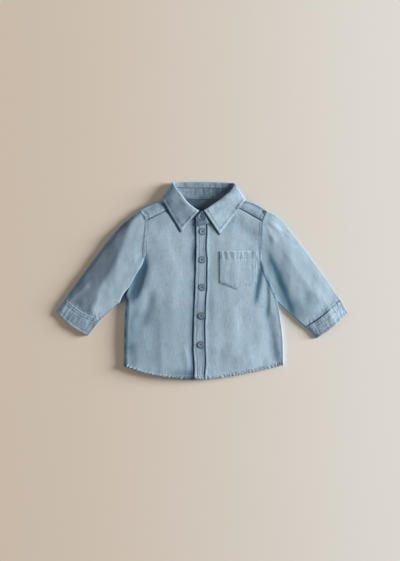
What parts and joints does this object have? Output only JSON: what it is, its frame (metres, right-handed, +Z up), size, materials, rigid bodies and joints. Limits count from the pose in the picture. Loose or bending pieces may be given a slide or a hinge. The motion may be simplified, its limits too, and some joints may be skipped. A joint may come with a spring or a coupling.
{
  "type": "chambray shirt",
  "caption": "Infant's long-sleeved chambray shirt, buttoned up and laid flat, with a turned-down collar, a pointed chest pocket and narrow cuffs.",
  "frame": {"origin": "bottom centre of the laid shirt's box, on the surface it lies on", "axes": "+X towards the wearer's left sleeve, +Y towards the collar, +Z up off the surface"},
  "size_m": [0.4539, 0.3061, 0.0124],
  "materials": {
    "chambray": "washed light blue chambray, plain weave with slubs, matt",
    "buttons": "dull blue-grey, softly polished rim"
  },
  "bodies": {
    "root": {"back": "chambray", "yoke": "chambray", "front_left": "chambray", "front_right": "chambray", "placket": "chambray", "pocket": "chambray", "sleeve_left": "chambray", "sleeve_right": "chambray", "cuff_left": "chambray", "cuff_right": "chambray", "collar_stand": "chambray", "collar": "chambray", "button_stand": "buttons", "button_1": "buttons", "button_2": "buttons", "button_3": "buttons", "button_4": "buttons", "button_5": "buttons"}
  },
  "joints": []
}
